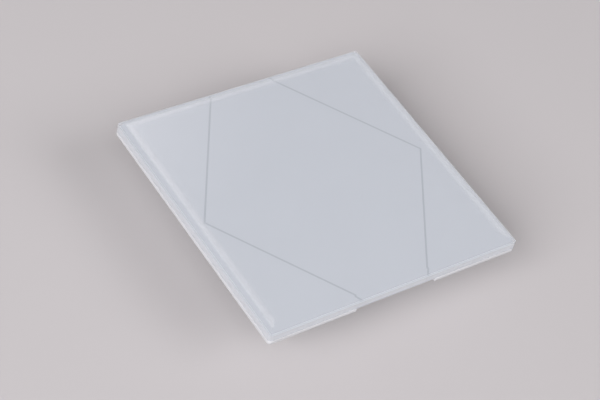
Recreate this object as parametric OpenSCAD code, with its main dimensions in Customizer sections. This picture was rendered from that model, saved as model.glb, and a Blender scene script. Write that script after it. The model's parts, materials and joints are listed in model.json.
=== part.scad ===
// Flush-mounted touch light switch. A bevelled glass plate is bonded to a white carrier, and its
// electronics sit in a cup that goes into a wall box through a steel mounting frame.
// The part lies on the back of the cup: +Z points out of the glass and +Y to the top edge.

/* [Glass plate] */
// Width and height of the plate
plate_w = 88; // [84:0.5:94]
// Radius of the plate's corners
corner_r = 1.2; // [0.6:0.1:3]
// Thickness of the glass
glass_t = 3.4; // [2.6:0.1:6]
// Width of the bevel round the front face
bevel_w = 2; // [0.5:0.1:4]
// Depth of the bevel at the plate's edge
bevel_h = 0.9; // [0.3:0.1:1.8]

/* [Back print] */
// Thickness of the white printed film
film_t = 0.2; // [0.15:0.05:0.5]
// Depth of the ink of the zone lines
line_t = 0.08; // [0.04:0.02:0.12]
// Width of a zone line
line_w = 0.55; // [0.3:0.05:1.2]
// Distance of a line's corner from the plate's side edge
line_corner_inset = 4.9; // [4:0.1:12]
// Distance of a line's end from the plate's middle, along the top and bottom edge
line_end_x = 10.7; // [6:0.1:16]
// Thickness of the clear bonding sheet
bond_t = 0.2; // [0.1:0.05:0.5]

/* [Carrier] */
// Thickness of the flange under the glass
flange_t = 1.1; // [0.8:0.1:2]
// Overhang of the flange past the tray
flange_overhang = 6.5; // [5:0.25:8]
// Wall thickness of the tray
tray_wall = 1.6; // [1.2:0.1:2.4]
// Thickness of the tray's floor
tray_floor_t = 1.5; // [1.2:0.1:2.5]
// Depth of the pocket for the sensor board
pocket_d = 4.2; // [4:0.1:6]
// Gap between the tray's rim and the wall
rim_gap = 0.4; // [0.2:0.1:1]
// Width of the release notch in the bottom edge
notch_w = 28; // [16:1:40]
// Depth of the release notch from the plate's edge
notch_d = 4; // [2:0.25:4.5]

/* [Sensor board] */
// Thickness of the sensor board
sensor_board_t = 1; // [0.8:0.1:1.6]
// Thickness of the copper pads
pad_t = 0.1; // [0.05:0.05:0.2]
// Clear distance from a pad to a zone line
pad_gap = 1.5; // [0.8:0.1:3]
// Distance from a pad to the board's edge
pad_margin = 1.5; // [0.8:0.1:3]
// Width of the touch controller
controller_w = 7; // [5:0.5:9]
// Height of the touch controller
controller_h = 0.9; // [0.6:0.1:1.4]
// Diameter of the sounder
sounder_d = 12; // [9:0.5:14]
// Height of the sounder
sounder_h = 2.2; // [1.5:0.1:2.6]

/* [Board connector] */
// Number of pins
pin_count = 8; // [4:1:8]
// Distance between pins
pin_pitch = 2.54; // [2:0.02:2.54]
// Diameter of a pin
pin_d = 0.64; // [0.5:0.02:0.8]
// Width of the pin strip and of the socket
strip_w = 2.5; // [2:0.1:3]
// Height of the pin strip's base
strip_h = 2.5; // [1.8:0.1:2.8]

/* [Rear housing] */
// Width of the cup
cup_w = 46; // [44:0.5:48]
// Cut of the cup's corners
cup_cut = 9; // [7:0.5:10]
// Wall thickness of the cup
cup_wall = 1.6; // [1.2:0.1:2]
// Thickness of the screw ears
ear_t = 2; // [1.8:0.1:2.2]
// Distance of an ear's screw inside the cup's side
ear_screw_inset = 1.5; // [1:0.25:2]
// Radius of an ear's corner
ear_r = 4; // [3:0.25:5]
// Diameter of a housing screw's thread
housing_screw_d = 2.2; // [1.8:0.1:2.4]
// Length of a housing screw
housing_screw_l = 6; // [5:0.25:6.2]

/* [Main board] */
// Thickness of the main board
main_board_t = 1.4; // [1:0.1:1.6]
// Gap between the relay and the cup's back
relay_room = 0.6; // [0.3:0.1:3]
// Gap between the board's screw heads and the tray's floor
board_room = 1; // [0.5:0.1:5]
// Diameter of a board post
post_d = 3.6; // [3.2:0.1:4.2]
// Diameter of a board screw's thread
board_screw_d = 1.7; // [1.4:0.1:2]
// Height of a board screw's head
board_head_h = 1.1; // [0.8:0.1:1.5]

/* [Supply parts] */
// Length of the film capacitor
film_cap_l = 13; // [10:0.5:13.5]
// Depth of the film capacitor
film_cap_d = 6; // [4:0.5:7]
// Height of the film capacitor
film_cap_h = 9; // [6:0.5:10]
// Diameter of the smoothing capacitor
can_d = 6.3; // [5:0.1:7]
// Height of the smoothing capacitor
can_h = 9; // [6:0.5:10]
// Diameter of the inductor's drum
drum_d = 7; // [5:0.5:8]
// Height of the inductor's drum
drum_h = 5.5; // [4:0.5:8]
// Diameter of the varistor's disc
disc_d = 7; // [5:0.5:7.5]
// Thickness of the varistor's disc
disc_t = 3.2; // [2.5:0.1:4.5]
// Length of the converter chip
chip_l = 4.9; // [3:0.1:6]
// Depth of the converter chip
chip_d = 3.9; // [3:0.1:5]
// Height of the converter chip
chip_h = 1.6; // [1:0.1:2]
// Length of the fuse
fuse_l = 8; // [6:0.5:9]
// Depth of the fuse
fuse_d = 4; // [3:0.5:5]
// Height of the fuse
fuse_h = 7; // [5:0.5:8]

/* [Relay] */
// Length of the relay
relay_l = 20; // [19:0.5:22]
// Width of the relay
relay_w = 10; // [9:0.5:11]
// Height of the relay
relay_h = 9.8; // [9.6:0.1:11]
// Thickness of the relay's steel parts
relay_steel_t = 0.8; // [0.6:0.1:1]
// Diameter of the coil
coil_d = 6; // [5:0.25:6.4]
// Length of the coil
coil_l = 9; // [8:0.25:9.5]
// Angle of the open armature
armature_angle = 5; // [3:0.5:6]

/* [Terminals] */
// Distance between terminals
pole_pitch = 7; // [6.6:0.1:8]
// Depth of the terminal block
block_d = 9.5; // [9.3:0.1:11]
// Diameter of a clamp screw's thread
clamp_screw_d = 2.9; // [2.4:0.1:3]
// Width of a clamp cage
cage_w = 5.2; // [5:0.1:5.4]
// Height of a clamp cage
cage_h = 6; // [5.8:0.1:6.2]
// Travel of a clamp cage
cage_travel = 2; // [1.6:0.1:2]
// Width of a wire entry
entry_w = 3.6; // [3:0.1:4.2]

/* [Mounting frame] */
// Thickness of the steel frame
frame_t = 1.2; // [1:0.1:1.5]
// Distance between opposite box screws
slot_spacing = 60; // [59:0.5:61]
// Width of a screw slot
slot_w = 3.6; // [3.2:0.1:4.2]
// Length of a screw slot, end to end
slot_l = 7; // [5:0.25:7.5]
// Room for screw heads between the frame and the tray
head_room = 2.8; // [2.7:0.1:4]
// Thickness of a retaining spring
spring_t = 0.4; // [0.3:0.05:0.5]
// Width of a retaining spring
spring_w = 7; // [5:0.5:7.5]
// Diameter of a spring's rivet
rivet_d = 1.6; // [1.2:0.1:2]

/* [Hidden] */

// Clearances
slide_gap = 0.3;
snug_gap = 0.1;
over = 1;
fine = 48;

// Each terminal's cage and screw is a node of its own
pole_count = 3;

// Heights, from the back of the cup to the face of the glass
z_main = cup_wall + relay_room + relay_h;
z_main_top = z_main + main_board_t;
z_floor = z_main_top + board_head_h + board_room;
z_frame_top = z_floor - head_room;
z_wall = z_frame_top - frame_t;
z_pocket = z_floor + tray_floor_t;
z_seat = z_pocket + pocket_d;
z_flange = z_seat - flange_t;
z_film = z_seat + bond_t;
z_glass = z_film + film_t;
z_face = z_glass + glass_t;
z_rim = z_wall + rim_gap;
z_sensor = z_seat - pad_t - sensor_board_t;
z_ear = z_floor - ear_t;

// Widths that follow from the plate and the cup
tray_w = plate_w - 2 * flange_overhang;
pocket_w = tray_w - 2 * tray_wall;
pocket_r = 1;
sensor_board_w = pocket_w - 2 * slide_gap;
frame_gap = 0.7;
frame_w = pocket_w - 2 * frame_gap;
frame_r = 3;
cup_in = cup_w - 2 * cup_wall;
cup_in_cut = cup_cut - cup_wall * (2 - sqrt(2));
ear_screw_x = cup_w / 2 - ear_screw_inset;
frame_opening_gap = 1.2;
frame_opening_w = cup_w + 2 * frame_opening_gap;
frame_opening_cut = cup_cut + frame_opening_gap * (2 - sqrt(2));
main_board_gap = 0.4;
main_board_w = cup_in - 2 * main_board_gap;
main_board_cut = cup_in_cut - main_board_gap * (2 - sqrt(2));

// Zone lines: each side is one chevron from the top edge to the bottom edge
line_corner_x = plate_w / 2 - line_corner_inset;
line_run_x = line_corner_x - line_end_x;
line_side = norm([line_run_x, plate_w / 2]) / (plate_w / 2);

// Plain outlines

module rounded_square(w, r) {
    square([w, w - 2 * r], center = true);
    square([w - 2 * r, w], center = true);
    for (x = [-1, 1], y = [-1, 1]) {
        translate([x * (w / 2 - r), y * (w / 2 - r)]) circle(r = r, $fn = fine);
    }
}

module cut_square(w, cut) {
    a = w / 2;
    b = w / 2 - cut;
    polygon([[a, b], [b, a], [-b, a], [-a, b], [-a, -b], [-b, -a], [b, -a], [a, -b]]);
}

module plate_layer(z, t) {
    translate([0, 0, z]) linear_extrude(t) rounded_square(plate_w, corner_r);
}

module box_at(centre, size) {
    translate([centre[0] - size[0] / 2, centre[1] - size[1] / 2, centre[2]]) cube(size);
}

module at_corners(x, y) {
    for (i = [-1, 1], j = [-1, 1]) translate([i * x, j * y, 0]) children();
}

// Glass plate and its print

module bevel_cut() {
    slope = bevel_h / bevel_w;
    translate([plate_w / 2, 0, z_face]) rotate([90, 0, 0])
        linear_extrude(plate_w + 2 * over, center = true)
            polygon([[-bevel_w - over, over * slope], [-bevel_w - over, 2 * over], [over, 2 * over],
                [over, -bevel_h - over * slope]]);
}

module glass_panel() {
    color([0.80, 0.84, 0.88, 0.45]) difference() {
        plate_layer(z_glass, glass_t);
        for (a = [0 : 90 : 270]) rotate(a) bevel_cut();
    }
}

module line_outline(half_w) {
    k = half_w * line_side;
    e = plate_w / 2;
    for (s = [-1, 1]) scale([s, 1])
        polygon([[line_corner_x + k, 0], [line_end_x + k, e], [line_end_x - k, e],
            [line_corner_x - k, 0], [line_end_x - k, -e], [line_end_x + k, -e]]);
}

module zone_lines() {
    color([0.66, 0.69, 0.74])
        translate([0, 0, z_glass - line_t]) linear_extrude(line_t) line_outline(line_w / 2);
}

module decor_film() {
    color([0.90, 0.91, 0.94]) difference() {
        plate_layer(z_film, film_t);
        translate([0, 0, z_glass - line_t]) linear_extrude(line_t + over) line_outline(line_w / 2);
    }
}

module bonding_film() {
    color([0.92, 0.93, 0.95]) plate_layer(z_seat, bond_t);
}

// Carrier: flange under the glass, tray for the sensor board, rim round the mounting frame

boss_d = 5.5;
boss_h = 2.6;
support_d = 5;
support_inset = 1;
support_x = pocket_w / 2 - support_d / 2 - support_inset;
strip_l = pin_count * pin_pitch;
strip_y = 6;
strip_gap = 0.5;

module carrier() {
    pilot_d = housing_screw_d + 2 * snug_gap;
    color([0.93, 0.93, 0.95]) difference() {
        union() {
            plate_layer(z_flange, flange_t);
            difference() {
                translate([0, 0, z_rim]) linear_extrude(z_seat - z_rim) rounded_square(tray_w, corner_r);
                translate([0, 0, z_rim - over])
                    linear_extrude(z_floor - z_rim + over) rounded_square(pocket_w, pocket_r);
            }
        }
        difference() {
            translate([0, 0, z_pocket]) linear_extrude(pocket_d + over) rounded_square(pocket_w, pocket_r);
            at_corners(ear_screw_x, ear_screw_x)
                translate([0, 0, z_pocket - over]) cylinder(d = boss_d, h = boss_h + over, $fn = fine);
            at_corners(support_x, support_x)
                translate([0, 0, z_pocket - over])
                    cylinder(d = support_d, h = z_sensor - z_pocket + over, $fn = fine);
        }
        at_corners(ear_screw_x, ear_screw_x)
            translate([0, 0, z_floor - over])
                cylinder(d = pilot_d, h = tray_floor_t + boss_h + 2 * over, $fn = fine);
        box_at([0, strip_y, z_floor - over],
            [strip_l + 2 * strip_gap, strip_w + 2 * strip_gap, tray_floor_t + 2 * over]);
        box_at([0, -plate_w / 2 - over + (notch_d + over) / 2, z_flange - over],
            [notch_w, notch_d + over, flange_t + 2 * over]);
    }
}

// Sensor board, its copper pads and what is soldered to it

module sensor_board() {
    color([0.10, 0.32, 0.20])
        translate([0, 0, z_sensor]) linear_extrude(sensor_board_t) rounded_square(sensor_board_w, pocket_r);
}

module inside_lines(inset) {
    x = line_corner_x - inset * line_side;
    y = x * plate_w / 2 / line_run_x;
    polygon([[x, 0], [0, y], [-x, 0], [0, -y]]);
}

module pad_area() {
    square(sensor_board_w - 2 * pad_margin, center = true);
}

module centre_electrode() {
    color([0.80, 0.50, 0.28])
        translate([0, 0, z_seat - pad_t]) linear_extrude(pad_t) intersection() {
            pad_area();
            inside_lines(pad_gap + line_w / 2);
        }
}

module corner_electrodes() {
    color([0.80, 0.50, 0.28])
        translate([0, 0, z_seat - pad_t]) linear_extrude(pad_t) difference() {
            pad_area();
            inside_lines(-pad_gap - line_w / 2);
        }
}

controller_x = 14;
sounder_x = -14;
sensor_row_y = -10;

module touch_controller() {
    color([0.12, 0.12, 0.13])
        box_at([controller_x, sensor_row_y, z_sensor - controller_h],
            [controller_w, controller_w, controller_h]);
}

module sounder() {
    sound_hole_d = 2;
    color([0.14, 0.14, 0.15]) translate([sounder_x, sensor_row_y, z_sensor - sounder_h]) difference() {
        cylinder(d = sounder_d, h = sounder_h, $fn = fine);
        translate([0, 0, -over]) cylinder(d = sound_hole_d, h = sounder_h / 2 + over, $fn = fine);
    }
}

// Plug connection between the boards

strip_top = z_main_top + strip_h;
socket_z = strip_top + slide_gap;
pin_top_gap = 0.6;

module at_pins() {
    for (i = [0 : pin_count - 1]) translate([(i - (pin_count - 1) / 2) * pin_pitch, strip_y, 0]) children();
}

module header_socket() {
    color([0.10, 0.10, 0.11]) difference() {
        box_at([0, strip_y, socket_z], [strip_l, strip_w, z_sensor - socket_z]);
        at_pins() translate([0, 0, socket_z - over])
            cylinder(d = pin_d + 2 * snug_gap, h = z_sensor - pin_top_gap / 2 - socket_z + over, $fn = fine);
    }
}

module header_strip() {
    color([0.10, 0.10, 0.11]) difference() {
        box_at([0, strip_y, z_main_top], [strip_l, strip_w, strip_h]);
        at_pins() translate([0, 0, z_main_top - over])
            cylinder(d = pin_d + snug_gap, h = strip_h + 2 * over, $fn = fine);
    }
}

module header_pins() {
    color([0.82, 0.68, 0.32]) at_pins() translate([0, 0, z_main_top])
        cylinder(d = pin_d, h = z_sensor - pin_top_gap - z_main_top, $fn = fine);
}

// Rear housing: cup with screw ears, board posts and an open corner for the terminals

post_inset = 0.6;
post_x = cup_in / 2 - post_d / 2 - post_inset;
post_y = 9;
block_side = 0.6;
block_w = pole_count * pole_pitch + 2 * block_side;
block_inset = 0.4;
block_front = -cup_w / 2 + block_inset;
block_back = block_front + block_d;
block_rear = 0.4;
head_d = 2 * housing_screw_d;
head_h = housing_screw_d / 2;
ear_edge = 2.3;
ear_w = 2 * (ear_screw_x + head_d / 2 + ear_edge);
vent_l = 14;
vent_w = 1.2;
vent_pitch = 3;
vent_count = 5;
vent_y = 10;

module at_board_screws() {
    for (s = [-1, 1]) translate([s * post_x, s * post_y, 0]) children();
}

module rear_housing() {
    color([0.86, 0.86, 0.87]) difference() {
        union() {
            difference() {
                union() {
                    linear_extrude(z_floor) cut_square(cup_w, cup_cut);
                    translate([0, 0, z_ear]) linear_extrude(ear_t) rounded_square(ear_w, ear_r);
                }
                translate([0, 0, cup_wall]) linear_extrude(z_floor) cut_square(cup_in, cup_in_cut);
            }
            at_corners(post_x, post_y) cylinder(d = post_d, h = z_main, $fn = fine);
        }
        box_at([0, block_front - over + (block_d + over + slide_gap) / 2, -over],
            [block_w + 2 * slide_gap, block_d + over + slide_gap, z_main + over + slide_gap]);
        box_at([0, -cup_w / 2, -over], [block_w + 2 * slide_gap, 2 * cup_wall, z_main + over + slide_gap]);
        at_corners(ear_screw_x, ear_screw_x) {
            translate([0, 0, z_ear - over])
                cylinder(d = housing_screw_d + 2 * snug_gap, h = ear_t + 2 * over, $fn = fine);
            translate([0, 0, z_ear]) cylinder(d1 = head_d + 2 * snug_gap,
                d2 = housing_screw_d + 2 * snug_gap, h = head_h, $fn = fine);
        }
        at_board_screws() translate([0, 0, cup_wall])
            cylinder(d = board_screw_d + 2 * snug_gap, h = z_main, $fn = fine);
        for (i = [0 : vent_count - 1])
            box_at([0, vent_y + (i - (vent_count - 1) / 2) * vent_pitch, -over],
                [vent_l, vent_w, cup_wall + 2 * over]);
    }
}

module housing_screws() {
    slot_share = 0.7;
    slot_t = 0.6;
    slot_h = 0.6;
    color([0.74, 0.75, 0.77]) at_corners(ear_screw_x, ear_screw_x) translate([0, 0, z_ear]) difference() {
        union() {
            cylinder(d1 = head_d, d2 = housing_screw_d, h = head_h, $fn = fine);
            cylinder(d = housing_screw_d, h = housing_screw_l, $fn = fine);
        }
        for (a = [0, 90]) rotate(a) box_at([0, 0, -over], [head_d * slot_share, slot_t, over + slot_h]);
    }
}

// Main board and the parts of the supply, which hang from its underside

module main_board() {
    color([0.12, 0.36, 0.22]) difference() {
        translate([0, 0, z_main]) linear_extrude(main_board_t) cut_square(main_board_w, main_board_cut);
        at_board_screws() translate([0, 0, z_main - over])
            cylinder(d = board_screw_d + 2 * snug_gap, h = main_board_t + 2 * over, $fn = fine);
    }
}

module board_screws() {
    pan_d = 2 * board_screw_d;
    thread_l = 6;
    slot_share = 0.7;
    slot_t = 0.5;
    slot_h = 0.5;
    color([0.74, 0.75, 0.77]) at_board_screws() difference() {
        union() {
            translate([0, 0, z_main_top]) cylinder(d = pan_d, h = board_head_h, $fn = fine);
            translate([0, 0, z_main_top - thread_l])
                cylinder(d = board_screw_d, h = thread_l + board_head_h, $fn = fine);
        }
        for (a = [0, 90]) rotate(a)
            box_at([0, 0, z_main_top + board_head_h - slot_h], [pan_d * slot_share, slot_t, slot_h + over]);
    }
}

// Two rows of parts lie between the relay and the terminals, and between the posts on both sides
relay_inset = 1;
relay_y = cup_in / 2 - relay_inset - relay_w / 2;
bar_t = 0.8;
part_gap = 0.6;
row_gap = 3.4;
lower_row_gap = 2.7;
row_reach = post_x - post_d / 2 - part_gap;
upper_row_y = relay_y - relay_w / 2 - row_gap - drum_d / 2;
lower_row_y = block_back + snug_gap + bar_t + lower_row_gap + fuse_d / 2;

module film_capacitor() {
    color([0.78, 0.62, 0.20])
        box_at([film_cap_l / 2 - row_reach, upper_row_y, z_main - film_cap_h],
            [film_cap_l, film_cap_d, film_cap_h]);
}

module smoothing_capacitor() {
    groove_t = 0.4;
    groove_z = 1.6;
    x = (film_cap_l - drum_d) / 2;
    color([0.20, 0.22, 0.30]) translate([x, upper_row_y, z_main - can_h]) difference() {
        cylinder(d = can_d, h = can_h, $fn = fine);
        translate([0, 0, can_h - groove_z]) difference() {
            cylinder(d = can_d + over, h = groove_t, $fn = fine);
            translate([0, 0, -over]) cylinder(d = can_d - groove_t, h = groove_t + 2 * over, $fn = fine);
        }
    }
}

module converter_inductor() {
    drum_flange_h = 0.9;
    wire_inset = 0.6;
    color([0.22, 0.20, 0.19]) translate([row_reach - drum_d / 2, upper_row_y, z_main - drum_h]) {
        cylinder(d = drum_d, h = drum_flange_h, $fn = fine);
        cylinder(d = drum_d - 2 * wire_inset, h = drum_h, $fn = fine);
        translate([0, 0, drum_h - drum_flange_h]) cylinder(d = drum_d, h = drum_flange_h, $fn = fine);
    }
}

module varistor() {
    neck_inset = 0.75;
    neck_h = 1;
    neck_w = disc_d - 2 * neck_inset;
    color([0.16, 0.30, 0.55]) translate([disc_d / 2 - row_reach, lower_row_y, z_main - disc_d / 2 - neck_h])
        rotate([90, 0, 0]) linear_extrude(disc_t, center = true) {
            circle(d = disc_d, $fn = fine);
            translate([-neck_w / 2, 0]) square([neck_w, disc_d / 2 + neck_h]);
        }
}

module converter_chip() {
    color([0.12, 0.12, 0.13])
        box_at([(disc_d - fuse_l) / 2, lower_row_y, z_main - chip_h], [chip_l, chip_d, chip_h]);
}

module fuse() {
    color([0.25, 0.25, 0.26])
        box_at([row_reach - fuse_l / 2, lower_row_y, z_main - fuse_h], [fuse_l, fuse_d, fuse_h]);
}

// Relay: a coil pulls the armature, whose leaf lowers a contact onto the fixed one

relay_wall = 0.5;
relay_base_t = 1;
relay_inner_z = z_main - relay_base_t;
relay_shell_z = z_main - relay_h;
relay_in_l = relay_l - 2 * relay_wall;
relay_in_w = relay_w - 2 * relay_wall;
coil_x0 = -relay_in_l / 2 + slide_gap + relay_steel_t;
coil_x1 = coil_x0 + coil_l;
core_d = 2.4;
core_proud = 0.3;
core_x1 = coil_x1 + core_proud;
yoke_z1 = relay_inner_z;
yoke_z0 = yoke_z1 - relay_steel_t;
cheek_t = 0.6;
cheek_r = 0.3;
coil_z = yoke_z0 - snug_gap - coil_d / 2 - cheek_r;
yoke_w = 6;
yoke_x1 = core_x1 - snug_gap;
armature_x = core_x1 + snug_gap + relay_steel_t / 2;
armature_z = yoke_z0 + relay_steel_t / 2;
leaf_t = 0.3;
leaf_w = 3;
leaf_drop = 5.2;
leaf_z = armature_z - leaf_drop;
leaf_end_gap = 1.4;
leaf_x1 = relay_in_l / 2 - leaf_end_gap;
contact_d = 2;
contact_h = 0.5;
contact_x = leaf_x1 - contact_d / 2;
contact_gap = (contact_x - armature_x) * sin(armature_angle) + snug_gap;
blade_t = 0.5;

module relay_base() {
    color([0.16, 0.20, 0.26])
        box_at([0, relay_y, relay_inner_z], [relay_l, relay_w, relay_base_t]);
}

module relay_cover() {
    h = relay_inner_z - relay_shell_z;
    color([0.13, 0.20, 0.36]) difference() {
        box_at([0, relay_y, relay_shell_z], [relay_l, relay_w, h]);
        box_at([0, relay_y, relay_shell_z + relay_wall], [relay_in_l, relay_in_w, h]);
    }
}

module relay_coil() {
    cheek_d = coil_d + 2 * cheek_r;
    color([0.62, 0.34, 0.18]) translate([coil_x0, relay_y, coil_z]) rotate([0, 90, 0]) difference() {
        union() {
            cylinder(d = coil_d, h = coil_l, $fn = fine);
            cylinder(d = cheek_d, h = cheek_t, $fn = fine);
            translate([0, 0, coil_l - cheek_t]) cylinder(d = cheek_d, h = cheek_t, $fn = fine);
        }
        translate([0, 0, -over]) cylinder(d = core_d + snug_gap, h = coil_l + 2 * over, $fn = fine);
    }
}

module relay_yoke() {
    back_x0 = coil_x0 - relay_steel_t;
    color([0.70, 0.71, 0.73]) {
        translate([back_x0, relay_y - yoke_w / 2, yoke_z0]) cube([yoke_x1 - back_x0, yoke_w, relay_steel_t]);
        translate([back_x0, relay_y - yoke_w / 2, coil_z - core_d])
            cube([relay_steel_t, yoke_w, yoke_z1 - coil_z + core_d]);
        translate([back_x0, relay_y, coil_z]) rotate([0, 90, 0])
            cylinder(d = core_d, h = core_x1 - back_x0, $fn = fine);
    }
}

module at_armature() {
    translate([armature_x, relay_y, armature_z]) rotate([0, -armature_angle, 0]) children();
}

module relay_armature() {
    core_overlap = 0.4;
    reach = armature_z - coil_z + core_d / 2 + core_overlap;
    color([0.68, 0.69, 0.71]) at_armature() {
        translate([-relay_steel_t / 2, -yoke_w / 2, -reach]) cube([relay_steel_t, yoke_w, reach]);
        rotate([90, 0, 0]) cylinder(d = relay_steel_t, h = yoke_w, center = true, $fn = fine);
    }
}

module contact_leaf() {
    tab_h = 2.4;
    face_x = relay_steel_t / 2;
    bend_x = face_x * cos(armature_angle) + leaf_drop * sin(armature_angle) + leaf_t / 2;
    color([0.80, 0.62, 0.30]) at_armature() {
        translate([face_x, -leaf_w / 2, -leaf_drop]) cube([leaf_t, leaf_w, tab_h]);
        rotate([0, armature_angle, 0]) translate([bend_x, -leaf_w / 2, -leaf_drop])
            cube([leaf_x1 - armature_x - bend_x, leaf_w, leaf_t]);
        rotate([0, armature_angle, 0]) translate([contact_x - armature_x, 0, -leaf_drop - contact_h])
            cylinder(d = contact_d, h = contact_h + leaf_t / 2, $fn = fine);
    }
}

module fixed_contact() {
    contact_top = leaf_z - contact_h - contact_gap;
    blade_x1 = relay_in_l / 2 - 2 * snug_gap;
    blade_z = contact_top - contact_h - blade_t;
    color([0.80, 0.62, 0.30]) {
        translate([blade_x1 - blade_t, relay_y - leaf_w / 2, blade_z])
            cube([blade_t, leaf_w, relay_inner_z - blade_z]);
        translate([contact_x - contact_d / 2, relay_y - leaf_w / 2, blade_z])
            cube([blade_x1 - contact_x + contact_d / 2, leaf_w, blade_t]);
        translate([contact_x, relay_y, blade_z]) cylinder(d = contact_d, h = blade_t + contact_h, $fn = fine);
    }
}

// Wire terminals: a screw draws its cage down, which clamps the wire against a fixed bar

ledge_t = 0.6;
clamp_head_rim = 0.55;
clamp_head_d = clamp_screw_d + 2 * clamp_head_rim;
clamp_head_h = 1.3;
cage_wall = 0.8;
cage_d = 5;
cage_gap = 0.2;
cage_roof = 0.8;
cage_top = z_main - cage_roof - cage_gap;
cage_bottom = cage_top - cage_h;
well_floor = cage_bottom - cage_travel - cage_gap - ledge_t;
block_front_t = 1.6;
cage_y = block_front + block_front_t + slide_gap + cage_d / 2;
bar_top = cage_top - cage_wall - cage_travel - cage_gap;
bar_w = cage_w - 2 * (cage_wall + cage_gap);
bar_inset = 0.4;

function pole_x(i) = (i - (pole_count - 1) / 2) * pole_pitch;

module terminal_block() {
    color([0.30, 0.31, 0.33]) difference() {
        box_at([0, (block_front + block_back) / 2, block_rear], [block_w, block_d, z_main - block_rear]);
        for (i = [0 : pole_count - 1]) translate([pole_x(i), 0, 0]) {
            translate([0, cage_y, block_rear - over])
                cylinder(d = clamp_head_d + 2 * slide_gap, h = well_floor - block_rear + over, $fn = fine);
            translate([0, cage_y, well_floor - over])
                cylinder(d = clamp_screw_d + 4 * snug_gap, h = ledge_t + 2 * over, $fn = fine);
            box_at([0, cage_y, well_floor + ledge_t],
                [cage_w + 2 * slide_gap, cage_d + 2 * slide_gap, z_main - cage_roof - well_floor - ledge_t]);
            translate([-entry_w / 2, block_front - over, bar_top])
                cube([entry_w, cage_y - block_front + over, cage_top - cage_wall - bar_top]);
            translate([-bar_w / 2 - snug_gap, cage_y, bar_top - bar_t - snug_gap])
                cube([bar_w + 2 * snug_gap, block_back - cage_y + over, bar_t + 2 * snug_gap]);
        }
    }
}

module terminal_bars() {
    color([0.80, 0.66, 0.30]) for (i = [0 : pole_count - 1]) translate([pole_x(i), 0, 0]) {
        translate([-bar_w / 2, cage_y - cage_d / 2 + bar_inset, bar_top - bar_t])
            cube([bar_w, block_back + snug_gap + bar_t - cage_y + cage_d / 2 - bar_inset, bar_t]);
        translate([-bar_w / 2, block_back + snug_gap, bar_top - bar_t])
            cube([bar_w, bar_t, z_main - bar_top + bar_t]);
    }
}

module clamp_cage(i) {
    color([0.74, 0.75, 0.78]) translate([pole_x(i), cage_y, 0]) difference() {
        box_at([0, 0, cage_bottom], [cage_w, cage_d, cage_h]);
        box_at([0, 0, cage_bottom + cage_wall],
            [cage_w - 2 * cage_wall, cage_d + 2 * over, cage_h - 2 * cage_wall]);
        translate([0, 0, cage_bottom - over])
            cylinder(d = clamp_screw_d + 2 * snug_gap, h = cage_wall + 2 * over, $fn = fine);
    }
}

module clamp_screw(i) {
    slot_t = 0.8;
    slot_h = 0.6;
    tip_z = bar_top - bar_t - cage_gap;
    color([0.78, 0.79, 0.80]) translate([pole_x(i), cage_y, 0]) difference() {
        union() {
            translate([0, 0, well_floor - clamp_head_h])
                cylinder(d = clamp_head_d, h = clamp_head_h, $fn = fine);
            translate([0, 0, well_floor - clamp_head_h])
                cylinder(d = clamp_screw_d, h = tip_z - well_floor + clamp_head_h, $fn = fine);
        }
        box_at([0, 0, well_floor - clamp_head_h - over], [clamp_head_d + over, slot_t, slot_h + over]);
    }
}

// Mounting frame: a steel plate on the wall box, with leaf springs that grip the cup

spring_y = 9;
spring_gap = 0.2;
spring_outer_x = frame_opening_w / 2 - spring_gap;
grip_x = cup_w / 2 + snug_gap;
grip_reach = 4;
grip_z = z_wall - grip_reach;
tip_l = 2.5;
tip_z = grip_z - tip_l;
tip_out = 0.9;
rivet_inset = 4.3;
rivet_x = spring_outer_x + rivet_inset;
tab_edge = 2.5;
tab_x = rivet_x + tab_edge;
rivet_head_h = 0.5;
rivet_head_rim = 0.6;

module at_springs() {
    for (s = [0, 180], y = [-1, 1]) rotate(s) translate([0, y * spring_y, 0]) children();
}

module mounting_frame() {
    color([0.72, 0.74, 0.76]) difference() {
        translate([0, 0, z_wall]) linear_extrude(frame_t) rounded_square(frame_w, frame_r);
        translate([0, 0, z_wall - over])
            linear_extrude(frame_t + 2 * over) cut_square(frame_opening_w, frame_opening_cut);
        for (a = [0 : 90 : 270]) rotate(a) translate([slot_spacing / 2, 0, z_wall - over]) {
            straight = slot_l - slot_w;
            for (s = [-1, 1]) translate([s * straight / 2, 0, 0])
                cylinder(d = slot_w, h = frame_t + 2 * over, $fn = fine);
            box_at([0, 0, 0], [straight, slot_w, frame_t + 2 * over]);
        }
        at_springs() translate([rivet_x, 0, z_wall - over])
            cylinder(d = rivet_d + snug_gap, h = frame_t + 2 * over, $fn = fine);
    }
}

module retaining_springs() {
    z = z_frame_top;
    color([0.62, 0.63, 0.66]) at_springs() difference() {
        rotate([90, 0, 0]) linear_extrude(spring_w, center = true)
            polygon([[tab_x, z], [tab_x, z + spring_t], [spring_outer_x - spring_t, z + spring_t],
                [grip_x, grip_z], [grip_x + tip_out, tip_z], [grip_x + tip_out + spring_t, tip_z],
                [grip_x + spring_t, grip_z], [spring_outer_x, z]]);
        translate([rivet_x, 0, z - over])
            cylinder(d = rivet_d + snug_gap, h = spring_t + 2 * over, $fn = fine);
    }
}

module spring_rivets() {
    rivet_head_d = rivet_d + 2 * rivet_head_rim;
    color([0.80, 0.80, 0.82]) at_springs() translate([rivet_x, 0, z_wall]) {
        cylinder(d = rivet_d, h = frame_t + spring_t + rivet_head_h, $fn = fine);
        translate([0, 0, frame_t + spring_t]) cylinder(d = rivet_head_d, h = rivet_head_h, $fn = fine);
    }
}

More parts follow.
